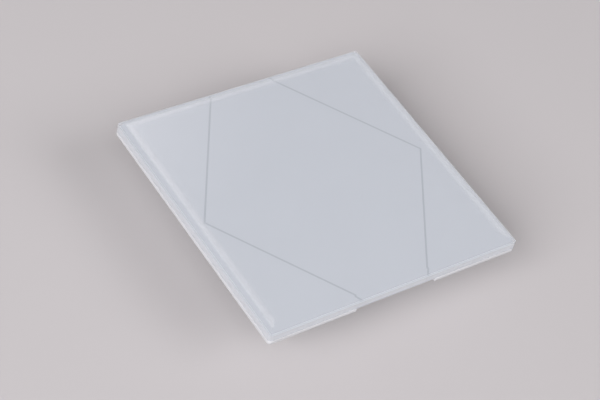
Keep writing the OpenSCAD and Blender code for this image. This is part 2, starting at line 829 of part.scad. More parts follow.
glass_panel();
decor_film();
zone_lines();
bonding_film();
carrier();
sensor_board();
corner_electrodes();
centre_electrode();
touch_controller();
sounder();
header_socket();
header_strip();
header_pins();
main_board();
board_screws();
film_capacitor();
smoothing_capacitor();
converter_inductor();
varistor();
converter_chip();
fuse();
relay_base();
relay_cover();
relay_coil();
relay_yoke();
relay_armature();
contact_leaf();
fixed_contact();
terminal_block();
terminal_bars();
clamp_cage(0);  // clamp_cage_1
clamp_cage(1);  // clamp_cage_2
clamp_cage(2);  // clamp_cage_3
clamp_screw(0);  // clamp_screw_1
clamp_screw(1);  // clamp_screw_2
clamp_screw(2);  // clamp_screw_3
rear_housing();
housing_screws();
mounting_frame();
retaining_springs();
spring_rivets();
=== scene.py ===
import json
import math
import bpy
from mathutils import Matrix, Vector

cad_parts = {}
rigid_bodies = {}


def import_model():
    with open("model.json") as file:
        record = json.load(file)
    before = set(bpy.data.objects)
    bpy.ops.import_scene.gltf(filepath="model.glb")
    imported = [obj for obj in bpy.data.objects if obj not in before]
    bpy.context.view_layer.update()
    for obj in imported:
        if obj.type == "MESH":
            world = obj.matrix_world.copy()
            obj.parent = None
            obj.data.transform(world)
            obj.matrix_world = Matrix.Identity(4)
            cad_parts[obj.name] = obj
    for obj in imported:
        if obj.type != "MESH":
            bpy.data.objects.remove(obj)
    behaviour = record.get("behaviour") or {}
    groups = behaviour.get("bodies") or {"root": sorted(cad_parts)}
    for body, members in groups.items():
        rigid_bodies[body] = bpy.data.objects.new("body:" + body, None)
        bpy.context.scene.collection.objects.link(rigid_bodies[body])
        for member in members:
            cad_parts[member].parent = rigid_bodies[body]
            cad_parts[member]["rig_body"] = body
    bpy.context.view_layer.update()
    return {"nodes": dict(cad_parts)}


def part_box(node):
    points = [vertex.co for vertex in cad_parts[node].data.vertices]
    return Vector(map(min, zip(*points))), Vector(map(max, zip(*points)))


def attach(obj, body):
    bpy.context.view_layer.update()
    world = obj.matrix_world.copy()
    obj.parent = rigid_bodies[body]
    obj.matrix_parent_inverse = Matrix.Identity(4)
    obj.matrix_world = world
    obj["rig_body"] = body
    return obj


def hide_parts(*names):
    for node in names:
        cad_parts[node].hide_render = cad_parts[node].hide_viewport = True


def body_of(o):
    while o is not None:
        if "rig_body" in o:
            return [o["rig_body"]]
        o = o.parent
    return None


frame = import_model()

from types import SimpleNamespace

import bmesh
import bpy
import numpy as np
from mathutils import Euler, Matrix, Vector

# Mounting frame
# A square plate of galvanised sheet steel, punched in one stroke and screwed to the wall box through its
# four slots. The punch leaves slightly rounded edges, and the zinc coat shows its crystals.
MM = 0.001
TINY = 1e-7
FLAT_ANGLE = math.radians(1)
SHARP_ANGLE = math.radians(30)
FRAME_EASE = 0.2 * MM
CRYSTAL_SIZE = 2.6 * MM
ZINC_FROST_SIZE = 0.35 * MM
ZINC_FROST_HEIGHT = 0.004 * MM
METAL = {"Metallic": 1.0}
finishes = {}


class Value:
    """A shader socket. Sums, differences and products of values add Math nodes."""

    def __init__(self, socket):
        self.socket = socket

    def node(self, kind, settings, inputs, output=0):
        """Adds a node of this kind: first its settings, then the values or links of its inputs."""
        tree = self.socket.id_data
        made = tree.nodes.new("ShaderNode" + kind)
        for name, setting in settings.items():
            setattr(made, name, setting)
        for name, given in inputs.items():
            if isinstance(given, Value):
                tree.links.new(given.socket, made.inputs[name])
            else:
                made.inputs[name].default_value = given
        return Value(made.outputs[output])

    def math(self, operation, *others):
        """A Math node on this value and others."""
        return self.node("Math", {"operation": operation}, dict(enumerate((self, *others))))

    def __add__(self, other):
        return self.math("ADD", other)

    def __sub__(self, other):
        return self.math("SUBTRACT", other)

    def __rsub__(self, other):
        return self.node("Math", {"operation": "SUBTRACT"}, {0: other, 1: self})

    def __mul__(self, other):
        return self.math("MULTIPLY", other)

    __radd__ = __add__
    __rmul__ = __mul__

    def below(self, limit):
        """1 where the value is under the limit, and 0 elsewhere."""
        return self.math("LESS_THAN", limit)

    def mix(self, low, high):
        """A colour that goes from low at 0 to high at 1. Its sockets are the Mix node's colour ones."""
        return self.node("Mix", {"data_type": "RGBA"}, {0: self, 6: low, 7: high}, 2)

    def part(self, axis):
        """One coordinate of a place."""
        return self.node("SeparateXYZ", {}, {0: self}, axis)

    def stretched(self, x, y, z):
        """The place with its three coordinates multiplied."""
        return self.node("VectorMath", {"operation": "MULTIPLY"}, {0: self, 1: (x, y, z)})

    def noise(self, size, detail=2.0):
        """Soft clouds from 0 to 1 that are about this large."""
        return self.node("TexNoise", {}, {"Vector": self, "Scale": 1 / size, "Detail": detail})

    def cells(self, size):
        """Crystals about this large, each with its own number from 0 to 1."""
        tint = self.node("TexVoronoi", {}, {"Vector": self, "Scale": 1 / size}, "Color")
        return self.node("SeparateColor", {}, {0: tint})


def srgb(red, green, blue):
    """A colour as a screen shows it, 0 to 255, in the linear numbers that shaders take."""
    shown = np.array([red, green, blue]) / 255
    linear = np.where(shown <= 0.04045, shown / 12.92, ((shown + 0.055) / 1.055) ** 2.4)
    return (*linear.tolist(), 1.0)


def finish(slot, look, constants):
    """The material of a record slot, with one Principled shader. look gives its varying sockets from the
    place on the piece, in metres, and a Height among them, in metres too, becomes a bump."""
    material = bpy.data.materials.new(slot)
    material.use_nodes = True
    tree = material.node_tree
    shader = tree.nodes["Principled BSDF"]
    for socket, number in constants.items():
        shader.inputs[socket].default_value = number
    place = Value(tree.nodes.new("ShaderNodeTexCoord").outputs["Object"])
    varying = look(place)
    if "Height" in varying:
        height = varying.pop("Height")
        varying["Normal"] = place.node("Bump", {}, {"Height": height, "Distance": 1.0, "Strength": 1.0})
    for socket, value in varying.items():
        tree.links.new(value.socket, shader.inputs[socket])
    finishes[slot] = material


def show(name, mesh, node, slot):
    """Puts a finished mesh in a CAD node's place, on the same body and with the finish of a record slot."""
    mesh.materials.clear()
    mesh.materials.append(finishes[slot])
    mesh.shade_smooth()
    mesh.set_sharp_from_angle(angle=SHARP_ANGLE)
    piece = bpy.data.objects.new(name, mesh)
    bpy.context.scene.collection.objects.link(piece)
    even = piece.modifiers.new("even_normals", "WEIGHTED_NORMAL")
    even.keep_sharp = True
    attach(piece, body_of(frame["nodes"][node])[0])
    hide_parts(node)
    return piece


def show_eased(name, node, radius, slot, steps=2):
    """Shows a CAD solid with rounded edges: its triangles are merged into flat faces, and every edge sharper
    than 30 degrees becomes a round of this radius."""
    mesh = frame["nodes"][node].data.copy()
    work = bmesh.new()
    work.from_mesh(mesh)
    bmesh.ops.remove_doubles(work, verts=work.verts, dist=TINY)
    bmesh.ops.dissolve_limit(work, angle_limit=FLAT_ANGLE, verts=work.verts, edges=work.edges)
    corners = [edge for edge in work.edges if edge.calc_face_angle(0) > SHARP_ANGLE]
    bmesh.ops.bevel(work, geom=corners, offset=radius, offset_type="OFFSET", segments=steps,
                    profile=0.5, affect="EDGES", clamp_overlap=False)
    work.to_mesh(mesh)
    work.free()
    show(name, mesh, node, slot)


def zinc_crystals(place):
    """Crystals a few millimetres across, each in its own grey, with finer frost inside."""
    crystal = place.cells(CRYSTAL_SIZE)
    frost = place.noise(ZINC_FROST_SIZE, detail=4.0)
    tone = 0.75 * crystal + 0.25 * frost
    return {
        "Base Color": tone.mix(srgb(158, 162, 166), srgb(205, 208, 211)),
        "Roughness": 0.28 + 0.22 * tone,
        "Height": frost * ZINC_FROST_HEIGHT,
    }


finish("galvanised_steel", zinc_crystals, METAL)
show_eased("frame_plate", "mounting_frame", FRAME_EASE, "galvanised_steel")

# Retaining springs
# Four strips of rolled spring steel, each bent over the frame's opening and down along the cup, which
# it grips with its waist. The tip is turned out so that the cup slides in. Rolling leaves fine lines.
SPRING_THICKNESS = 0.4 * MM
SPRING_WIDTH = 7 * MM
SPRING_BEND = 0.6 * MM
SPRING_EASE = 0.08 * MM
SPRING_Y = 9 * MM
GRIP_REACH = 4 * MM
TIP_OUT = 0.9 * MM
GRIP_X = 23.3 * MM
BEND_X = 23.8 * MM
ROLLED_LINE = 0.05 * MM
ROLLED_HEIGHT = 0.003 * MM
ROLLED_OUT = 0.08
STRAW_CLOUD = 3 * MM


def grid_faces(rows, columns):
    """Quads between neighbouring rows of a grid whose last column joins its first."""
    here = np.arange(columns)
    after = (here + 1) % columns
    start = np.arange(rows - 1)[:, None] * columns
    corners = [start + here, start + after, start + columns + after, start + columns + here]
    return np.stack(corners, -1).reshape(-1, 4)


def loft(rings):
    """A closed solid through rings of points, given as (rings, points, 3) and each anticlockwise seen
    from the last one. The first and the last ring are filled flat. Returns points and faces."""
    rows, columns = rings.shape[:2]
    sides = grid_faces(rows, columns).tolist()
    first = list(range(columns))[::-1]
    last = list(range((rows - 1) * columns, rows * columns))
    return rings.reshape(-1, 3), sides + [first, last]


def show_solids(name, solids, node, slot):
    """Shows one or more solids, each of points and faces, as one piece."""
    points = np.concatenate([solid[0] for solid in solids])
    starts = np.cumsum([0] + [len(solid[0]) for solid in solids])
    faces = [[start + i for i in face] for start, solid in zip(starts, solids) for face in solid[1]]
    mesh = bpy.data.meshes.new(name)
    mesh.from_pydata(points, [], faces)
    return show(name, mesh, node, slot)


def rounded_path(corners, radius, steps=6):
    """A path through corners in a plane whose inner corners are arcs. Each arc touches both straight runs
    and turns evenly from one to the other."""
    corners = np.array(corners)
    before = corners[:-2] - corners[1:-1]
    after = corners[2:] - corners[1:-1]
    before /= np.linalg.norm(before, axis=1, keepdims=True)
    after /= np.linalg.norm(after, axis=1, keepdims=True)
    half = np.arccos(np.clip((before * after).sum(1), -1, 1)) / 2
    middle = before + after
    middle /= np.linalg.norm(middle, axis=1, keepdims=True)
    centre = corners[1:-1] + middle * (radius / np.sin(half))[:, None]
    start = corners[1:-1] + before * (radius / np.tan(half))[:, None] - centre
    end = corners[1:-1] + after * (radius / np.tan(half))[:, None] - centre
    share = np.linspace(0, 1, steps + 1)[:, None, None]
    sweep = (math.pi - 2 * half)[:, None]
    arc = (np.sin((1 - share) * sweep) * start + np.sin(share * sweep) * end) / np.sin(sweep)
    bends = (centre + arc).transpose(1, 0, 2).reshape(-1, 2)
    return np.concatenate([corners[:1], bends, corners[-1:]])


def strip(path, width, thickness, ease):
    """A strip that follows a path in the XZ plane: at each point a rectangle, with its corners cut, that
    stands square to the path. Its width lies along Y."""
    along = np.gradient(path, axis=0)
    along /= np.linalg.norm(along, axis=1, keepdims=True)
    up = np.stack([-along[:, 1], along[:, 0]], -1)
    w, t = width / 2, thickness / 2
    across = np.array([-w + ease, w - ease, w, w, w - ease, -w + ease, -w, -w])
    rise = np.array([-t, -t, -t + ease, t - ease, t, t, t - ease, -t + ease])
    x = path[:, :1] + rise * up[:, :1]
    z = path[:, 1:] + rise * up[:, 1:]
    return loft(np.stack([x, np.broadcast_to(across, x.shape), z], -1))


def placed(solid, x, y, z=0.0):
    """The solid moved to a place."""
    return solid[0] + np.array([x, y, z]), solid[1]


def swung(solid, degrees):
    """The solid turned about the Z axis."""
    cosine = math.cos(math.radians(degrees))
    sine = math.sin(math.radians(degrees))
    return solid[0] @ np.array([[cosine, sine, 0], [-sine, cosine, 0], [0, 0, 1]]), solid[1]


def rolled_lines(place):
    """Fine lines that run along the strip, on steel with a faint straw tint."""
    lines = place.stretched(ROLLED_OUT, 1, ROLLED_OUT).noise(ROLLED_LINE, detail=3.0)
    cloud = place.noise(STRAW_CLOUD)
    return {
        "Base Color": cloud.mix(srgb(168, 167, 166), srgb(196, 194, 190)),
        "Roughness": 0.22 + 0.2 * lines,
        "Height": lines * ROLLED_HEIGHT,
    }


finish("spring_steel", rolled_lines, METAL)
frame_low, frame_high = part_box("mounting_frame")
spring_low, spring_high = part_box("retaining_springs")
middle_z = frame_high.z + SPRING_THICKNESS / 2
grip_z = frame_low.z - GRIP_REACH
spring_path = rounded_path([(spring_high.x, middle_z), (BEND_X, middle_z), (GRIP_X, grip_z),
                            (GRIP_X + TIP_OUT, spring_low.z)], SPRING_BEND)
spring = strip(spring_path, SPRING_WIDTH, SPRING_THICKNESS, SPRING_EASE)
springs = [swung(placed(spring, 0, y), side) for y in (-SPRING_Y, SPRING_Y) for side in (0, 180)]
show_solids("leaf_springs", springs, "retaining_springs", "spring_steel")

# Spring rivets
# Four tubular steel rivets, zinc plated, that fix the springs to the frame. Each was set with a punch,
# which left a low dome.
RIVET_RADIUS = 0.8 * MM
RIVET_EASE = 0.1 * MM
RIVET_HEAD_RADIUS = 1.4 * MM
RIVET_HEAD_HEIGHT = 0.5 * MM
RIVET_RIM_EASE = 0.05 * MM
RIVET_RIM_HEIGHT = 0.08 * MM
NEAR_MIDDLE = 0.97
PLATED_PATCH = 0.9 * MM
PLATED_GRAIN = 0.2 * MM
PLATED_HEIGHT = 0.003 * MM


def full_turn(steps):
    """Angles evenly round a circle."""
    return np.linspace(0, 2 * math.pi, steps, endpoint=False)


ROUND_ANGLES = full_turn(48)


def about_z(radius, height, angle):
    """Rings of points about the Z axis: each row of radii and heights is one ring."""
    return np.stack(np.broadcast_arrays(radius * np.cos(angle), radius * np.sin(angle), height), -1)


def revolved(profile, angle=ROUND_ANGLES):
    """The rings of a round form about Z. profile lists radius and height from one end to the other."""
    radius, height = np.array(profile).T[:, :, None]
    return about_z(radius, height, angle)


def turned(profile):
    """A closed solid of revolution about Z."""
    return loft(revolved(profile))


def dome(radius, base, rise, steps=8):
    """The profile of a low dome: a quarter ellipse from its rim to just beside its middle."""
    turn = np.linspace(0, NEAR_MIDDLE * math.pi / 2, steps)
    return np.stack([radius * np.cos(turn), base + rise * np.sin(turn)], -1).tolist()


def plated(place):
    """Bright zinc with a faint blue tint and small dull patches."""
    patch = place.noise(PLATED_PATCH, detail=3.0)
    return {
        "Base Color": patch.mix(srgb(186, 190, 196), srgb(214, 217, 221)),
        "Roughness": 0.2 + 0.18 * patch,
        "Height": place.noise(PLATED_GRAIN) * PLATED_HEIGHT,
    }


finish("zinc_steel", plated, METAL)
rivet_low, rivet_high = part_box("spring_rivets")
head_base = rivet_high.z - RIVET_HEAD_HEIGHT
shank = [(RIVET_RADIUS - RIVET_EASE, rivet_low.z), (RIVET_RADIUS, rivet_low.z + RIVET_EASE),
         (RIVET_RADIUS, head_base), (RIVET_HEAD_RADIUS - RIVET_RIM_EASE, head_base)]
rivet_dome = dome(RIVET_HEAD_RADIUS, head_base + RIVET_RIM_HEIGHT, RIVET_HEAD_HEIGHT - RIVET_RIM_HEIGHT)
rivet = turned(shank + rivet_dome)
rivet_x = rivet_high.x - RIVET_HEAD_RADIUS
rivets = [placed(rivet, x, y) for x in (-rivet_x, rivet_x) for y in (-SPRING_Y, SPRING_Y)]
show_solids("rivet_set", rivets, "spring_rivets", "zinc_steel")

# Rear housing
# The cup that sits in the wall box, moulded in one piece from pale heat-proof plastic. It has screw ears,
# board posts, vents in its back and an open side for the terminals. The mould left a fine even grain.
CUP_EASE = 0.15 * MM
FLOW_SIZE = 7 * MM
GRAIN_SIZE = 0.16 * MM
GRAIN_HEIGHT = 0.006 * MM


def plastic(slot, dull, bright, roughness, grain=GRAIN_HEIGHT):
    """A finish of moulded plastic: faint flow clouds in its colour and a fine even grain."""
    def look(place):
        cloud = place.noise(FLOW_SIZE, detail=3.0)
        pits = place.noise(GRAIN_SIZE)
        return {
            "Base Color": cloud.mix(dull, bright),
            "Roughness": roughness + 0.12 * pits,
            "Height": pits * grain,
        }
    finish(slot, look, {})


plastic("housing_plastic", srgb(214, 214, 213), srgb(224, 224, 224), 0.42)
show_eased("cup_moulding", "rear_housing", CUP_EASE, "housing_plastic")

# Terminals
# A grey moulded block holds three rising clamps. Each has a folded steel cage, a slotted screw that draws
# it, and a bronze bar against which the wire is pressed and which leads to the board.
FINE_ANGLES = full_turn(128)
RINGS_PER_TURN = 8
FACE_RINGS = 36
FACE_MIDDLE = 0.02
RECESS_WALL = 0.15 * MM
HEAD_EASE = 0.1 * MM
CLAMP_HEAD_HEIGHT = 1.3 * MM
CLAMP_THREAD_RADIUS = 1.45 * MM
CLAMP_PITCH = 0.5 * MM
CLAMP_SLOT_WIDTH = 0.8 * MM
CLAMP_SLOT_LENGTH = math.inf
CLAMP_SLOT_DEPTH = 0.6 * MM
BLOCK_EASE = 0.1 * MM
BAR_EASE = 0.08 * MM
CAGE_EASE = 0.12 * MM
DRAWN_LINE = 0.08 * MM
DRAWN_HEIGHT = 0.002 * MM
DRAWN_OUT = 0.1
TARNISH_SIZE = 1 * MM


def place_of(node):
    """The lowest corner, the highest corner and the middle of a node's box."""
    low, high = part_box(node)
    return low, high, (low + high) / 2


def channel(along, across, width, length, depth):
    """The depth of a straight channel at a point: full in its middle, and evenly less over its walls."""
    inside = np.minimum(width / 2 - np.abs(across), length / 2 - np.abs(along))
    return depth * np.clip(inside / RECESS_WALL, 0, 1)


def thread_rings(radius, pitch, low, high):
    """The rings of a thread about Z. Its ridge climbs by one pitch in a turn: at each angle the radius rises
    evenly from root to crest and back within a pitch. The ridge fades out over the last pitch."""
    depth = pitch / 4
    rows = round((high - low) / pitch * RINGS_PER_TURN)
    height = np.linspace(low, high, rows)[:, None]
    share = (height / pitch - FINE_ANGLES / (2 * math.pi)) % 1
    ridge = (1 - np.abs(2 * share - 1)) * np.clip((high - height) / pitch, 0, 1)
    return about_z(radius - depth * (1 - ridge), height, FINE_ANGLES)


def screw_solid(head, thread, recess):
    """A screw from its head's face up to its tip. head lists radius and height of the head's side from the
    face's rim on, and every ring lies at least as high as the floor of the driver's recess."""
    rim, face = head[0]
    middle = [(share * rim, face) for share in np.linspace(FACE_MIDDLE, 1, FACE_RINGS)]
    rings = revolved(middle + head[1:], FINE_ANGLES)
    floor = face + recess(rings[..., 0], rings[..., 1])
    rings[..., 2] = np.maximum(rings[..., 2], floor)
    return loft(np.concatenate([rings, thread]))


def clamp_slot(x, y):
    """A slot that runs right across the head and past its sides."""
    return channel(x, y, CLAMP_SLOT_WIDTH, CLAMP_SLOT_LENGTH, CLAMP_SLOT_DEPTH)


def clamp_screw(node):
    """A cheese-head screw in a clamp screw's place, head down."""
    low, high, middle = place_of(node)
    radius = high.x - middle.x
    shoulder = low.z + CLAMP_HEAD_HEIGHT
    head = [(radius - HEAD_EASE, low.z), (radius, low.z + HEAD_EASE), (radius, shoulder - HEAD_EASE / 2),
            (radius - HEAD_EASE / 2, shoulder)]
    thread = thread_rings(CLAMP_THREAD_RADIUS, CLAMP_PITCH, shoulder, high.z)
    return placed(screw_solid(head, thread, clamp_slot), middle.x, middle.y)


def rolled_bronze(place):
    """Rolled bronze with a warm tint, faint clouds of tarnish and fine lines."""
    tarnish = place.noise(TARNISH_SIZE, detail=3.0)
    lines = place.stretched(1, DRAWN_OUT, 1).noise(DRAWN_LINE)
    return {
        "Base Color": tarnish.mix(srgb(196, 150, 86), srgb(222, 180, 116)),
        "Roughness": 0.22 + 0.12 * lines + 0.1 * tarnish,
        "Height": lines * DRAWN_HEIGHT,
    }


plastic("grey_plastic", srgb(92, 94, 97), srgb(104, 106, 109), 0.45)
finish("contact_bronze", rolled_bronze, METAL)
show_eased("block_moulding", "terminal_block", BLOCK_EASE, "grey_plastic")
show_eased("bronze_bars", "terminal_bars", BAR_EASE, "contact_bronze")
for pole in (1, 2, 3):
    screw = f"clamp_screw_{pole}"
    show_eased(f"folded_cage_{pole}", f"clamp_cage_{pole}", CAGE_EASE, "zinc_steel")
    show_solids(f"slotted_screw_{pole}", [clamp_screw(screw)], screw, "zinc_steel")

# Main board
# A green glass-fibre board that hangs all parts of the supply from its underside. Copper tracks and areas
# show paler under the solder mask, and the cut edge shows the bare laminate. Two pan-head screws hold it.
TRACK_PITCH = 1.1 * MM
TRACK_SHARE = 0.3
PATCH_SIZE = 5 * MM
ALONG_X_BELOW = 0.25
TRACKED_BELOW = 0.5
FILLED_ABOVE = 0.7
COPPER_HEIGHT = 0.03 * MM
WEAVE_SIZE = 0.5 * MM
PAN_HEIGHT = 1.1 * MM
PAN_EASE = 0.25 * MM
PAN_CROSS_WIDTH = 0.5 * MM
PAN_CROSS_LENGTH = 2.4 * MM
PAN_CROSS_DEPTH = 0.5 * MM
BOARD_THREAD_RADIUS = 0.85 * MM
TAPPING_PITCH = 0.8 * MM
BOARD_SCREW_Y = 9 * MM


def board_look(place):
    """Every patch of the board has a number, which picks tracks along X, tracks along Y, no copper or copper
    all over. A track is a narrow band in each repeat of the coordinate across it."""
    x, y = place.part(0), place.part(1)
    patch = place.stretched(1, 1, 0).cells(PATCH_SIZE)
    along_x = patch.below(ALONG_X_BELOW)
    across = along_x * y + (1 - along_x) * x
    repeat = (across * (1 / TRACK_PITCH)).math("FRACT")
    track = repeat.below(TRACK_SHARE) * patch.below(TRACKED_BELOW)
    copper = track + 1 - patch.below(FILLED_ABOVE)
    weave = place.noise(WEAVE_SIZE, detail=3.0)
    mask = (0.7 * copper + 0.3 * weave).mix(srgb(24, 78, 50), srgb(50, 114, 72))
    bare = weave.mix(srgb(150, 146, 104), srgb(176, 170, 128))
    edge = place.node("NewGeometry", {}, {}, "True Normal").part(2).math("ABSOLUTE").below(0.5)
    return {
        "Base Color": edge.mix(mask, bare),
        "Roughness": 0.28 + 0.15 * weave + 0.3 * edge,
        "Height": copper * COPPER_HEIGHT,
    }


def dress(node, slot):
    """Gives a CAD node that is shown as it is the finish of a record slot."""
    mesh = frame["nodes"][node].data
    mesh.materials.clear()
    mesh.materials.append(finishes[slot])


def cross_cut(width, length, depth):
    """A cross for a driver, which is the deeper of two channels at each point."""
    def cut(x, y):
        return np.maximum(channel(x, y, width, length, depth), channel(y, x, width, length, depth))
    return cut


def edge_arc(radius, steps=4):
    """Inset and height of a rounded edge: a quarter circle from an end face to the side."""
    turn = np.linspace(0, math.pi / 2, steps + 1)
    return np.stack([radius * (1 - np.sin(turn)), radius * (1 - np.cos(turn))], -1).tolist()


def flipped(solid, height):
    """The solid turned upside down, with its zero at this height."""
    return solid[0] * np.array([1, -1, -1]) + np.array([0, 0, height]), solid[1]


finish("circuit_board", board_look, {})
dress("main_board", "circuit_board")
screws_low, screws_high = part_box("board_screws")
pan_radius = 2 * BOARD_THREAD_RADIUS
pan = [(pan_radius - inset, height) for inset, height in edge_arc(PAN_EASE)] + [(pan_radius, PAN_HEIGHT)]
pan_thread = thread_rings(BOARD_THREAD_RADIUS, TAPPING_PITCH, PAN_HEIGHT, screws_high.z - screws_low.z)
pan_cross = cross_cut(PAN_CROSS_WIDTH, PAN_CROSS_LENGTH, PAN_CROSS_DEPTH)
pan_screw = flipped(screw_solid(pan, pan_thread, pan_cross), screws_high.z)
board_screw_x = screws_high.x - pan_radius
pan_screws = [placed(pan_screw, side * board_screw_x, side * BOARD_SCREW_Y) for side in (1, -1)]
show_solids("pan_screws", pan_screws, "board_screws", "zinc_steel")

# Parts of the supply
# A potted film capacitor, a can in a shrunk sleeve, a wound drum core, a dipped disc, a moulded chip on
# tinned legs and a fuse in its box, all soldered to the main board.
SHARPEST_CORNER = 0.1 * MM
BOX_CORNER = 0.6 * MM
POTTED_EASE = 0.5 * MM
POTTED_RIM_EASE = 0.2 * MM
POTTING_INSET = 0.9 * MM
POTTING_SLOPE = 0.1 * MM
POTTING_DEPTH = 0.5 * MM
FUSE_EASE = 0.35 * MM
FUSE_FOOT_EASE = 0.1 * MM
FUSE_SEAM_DROP = 1.3 * MM
FUSE_SEAM_HALF = 0.1 * MM
FUSE_SEAM_DEPTH = 0.12 * MM
CAN_SHOULDER = 0.4 * MM
CAN_RIM = 0.85 * MM
CAN_CRIMP = 0.2 * MM
CAN_CRIMP_DROP = 1.4 * MM
DRUM_FLANGE = 0.9 * MM
DRUM_EASE = 0.15 * MM
DRUM_WIRE = 0.35 * MM
DRUM_WINDING_RADIUS = 2.9 * MM
DRUM_CORE_RADIUS = 2.2 * MM
DISC_RADIUS = 3.5 * MM
DISC_NECK = 2.75 * MM
DISC_EASE = 1.1 * MM
DISC_RINGS = 13
CHIP_EASE_IN = 0.08 * MM
CHIP_EASE_UP = 0.05 * MM
LEG_EASE = 0.02 * MM
LEG_BEND = 0.12 * MM
LACQUER_CLOUD = 0.6 * MM
SUPPLY_CHIP = SimpleNamespace(
    slope=0.3 * MM, seam_rise=0.7 * MM, seam_drop=0.85 * MM, top_slope=0.15 * MM, top_ease=0.05 * MM,
    stand_off=0.15 * MM, root=0.2 * MM, knee=0.4 * MM, heel=0.6 * MM, toe=1.05 * MM, foot_drop=0.12 * MM,
    leg_width=0.42 * MM, leg_thickness=0.2 * MM, leg_pitch=1.27 * MM, legs=4, sides=(90, 270))


def round_ring(half_x, half_y, radius, steps=8):
    """One anticlockwise turn round a rectangle whose four corners are quarter circles."""
    angle = (np.arange(4)[:, None] + np.linspace(0, 1, steps + 1)).ravel() * math.pi / 2
    corners = np.array([[1, 1], [-1, 1], [-1, -1], [1, -1]]) * np.array([half_x - radius, half_y - radius])
    return np.repeat(corners, steps + 1, axis=0) + radius * np.stack([np.cos(angle), np.sin(angle)], -1)


def at_height(outline, height):
    """An outline lifted to a height, which may differ from point to point."""
    return np.column_stack([outline, np.broadcast_to(height, len(outline))])


def moulded_box(node, lower, upper):
    """A moulded box in a node's place: rounded rectangles from its lowest face to its highest one. Each lies
    inside the node's outline by an inset, at a rise over the lowest face or at a drop under the highest."""
    low, high, middle = place_of(node)
    half = (high - low) / 2
    steps = [(inset, low.z + rise) for inset, rise in lower]
    steps += [(inset, high.z - drop) for inset, drop in upper]
    rings = []
    for inset, height in steps:
        corner = max(BOX_CORNER - inset, SHARPEST_CORNER)
        rings.append(at_height(round_ring(half.x - inset, half.y - inset, corner), height))
    return placed(loft(np.stack(rings)), middle.x, middle.y)


def turned_in(node, profile):
    """A solid of revolution in a node's place. profile gives its side from its radius, foot and top."""
    low, high, middle = place_of(node)
    return placed(turned(profile(high.x - middle.x, low.z, high.z)), middle.x, middle.y)


def band(rings):
    """A closed surface through rings of which the last leads back to the first, as round a tube."""
    rows, columns = rings.shape[:2]
    return rings.reshape(-1, 3), (grid_faces(rows + 1, columns) % (rows * columns)).tolist()


def wound(radius, inner, wire, low, high):
    """A tight winding about Z with a plain bore. Its wire climbs by its own thickness in a turn: at each
    angle the outside is the half circle of the nearest turn's wire."""
    rows = round((high - low) / wire * RINGS_PER_TURN)
    height = np.linspace(low, high, rows)[:, None]
    share = 2 * ((height / wire - ROUND_ANGLES / (2 * math.pi)) % 1) - 1
    outside = about_z(radius - wire / 2 * (1 - np.sqrt(1 - share ** 2)), height, ROUND_ANGLES)
    return band(np.concatenate([outside, revolved([(inner, high), (inner, low)])]))


def can_profile(radius, low, high):
    """The side of a sleeved can from its end face up to the board: a rolled rim, a rounded shoulder, the
    straight wall, and the crimp that holds its rubber plug."""
    shoulder = [(radius - inset, low + rise) for inset, rise in edge_arc(CAN_SHOULDER)]
    crimp_z = high - CAN_CRIMP_DROP
    crimp = [(radius - CAN_CRIMP * depth, crimp_z + rise * CAN_CRIMP)
             for depth, rise in [(0, -2), (0.8, -1), (1, 0), (0.8, 1), (0, 2)]]
    end = [(radius, high - CAN_CRIMP), (radius - CAN_CRIMP, high)]
    rim = [(radius - CAN_RIM - CAN_CRIMP / 2, low + CAN_CRIMP), (radius - CAN_RIM, low)]
    return rim + shoulder + crimp + end


def drum_profile(radius, low, high):
    """The side of a drum core: two flanges with eased edges and the core between them."""
    flange = [(radius - DRUM_EASE, 0), (radius, DRUM_EASE), (radius, DRUM_FLANGE - DRUM_EASE),
              (radius - DRUM_EASE, DRUM_FLANGE), (DRUM_CORE_RADIUS, DRUM_FLANGE)]
    return [(r, low + z) for r, z in flange] + [(r, high - z) for r, z in flange[::-1]]


def dipped_solid(node):
    """A disc with a neck to the board, dipped in lacquer. Its outline is the larger of a circle and of the
    neck's rectangle, seen from the disc's middle, and draws in towards both faces as an ellipse does."""
    low, high, middle = place_of(node)
    centre_z = low.z + DISC_RADIUS
    side = DISC_NECK / np.maximum(np.abs(np.cos(FINE_ANGLES)), TINY)
    top = (high.z - centre_z) / np.maximum(np.sin(FINE_ANGLES), TINY)
    reach = np.maximum(DISC_RADIUS, np.where(np.sin(FINE_ANGLES) > 0, np.minimum(side, top), 0))
    share = np.sin(np.linspace(-1, 1, DISC_RINGS) * math.pi / 2)[:, None]
    inset = DISC_EASE * (1 - np.sqrt(1 - share ** 2))
    points, faces = loft(about_z(reach - inset, share * (high.y - middle.y), FINE_ANGLES))
    upright = points[:, [0, 2, 1]] * np.array([1, -1, 1])
    return placed((upright, faces), middle.x, middle.y, centre_z)


def chip_body(node, chip):
    """A moulded chip. Its sides slope out from its lowest face to a seam, and in again towards the board,
    from which it stands off a little."""
    lower = [(chip.slope, 0), (chip.slope - CHIP_EASE_IN, CHIP_EASE_UP), (0, chip.seam_rise)]
    upper = [(0, chip.seam_drop), (chip.top_slope, chip.stand_off + chip.top_ease),
             (chip.top_slope + chip.top_ease, chip.stand_off)]
    return moulded_box(node, lower, upper)


def chip_legs(node, chip):
    """Tinned legs in rows on some sides of a chip: each is a strip that leaves the seam, bends at its knee
    towards the board, bends again at its heel and lies flat up to its toe."""
    low, high, middle = place_of(node)
    reach = high.y - middle.y
    seam_z = low.z + chip.seam_rise
    foot_z = high.z - chip.foot_drop
    path = [(reach - chip.root, seam_z), (reach + chip.knee, seam_z), (reach + chip.heel, foot_z),
            (reach + chip.toe, foot_z)]
    leg = strip(rounded_path(path, LEG_BEND), chip.leg_width, chip.leg_thickness, LEG_EASE)
    row = [placed(leg, 0, (i - (chip.legs - 1) / 2) * chip.leg_pitch) for i in range(chip.legs)]
    return [placed(swung(one, side), middle.x, middle.y) for side in chip.sides for one in row]


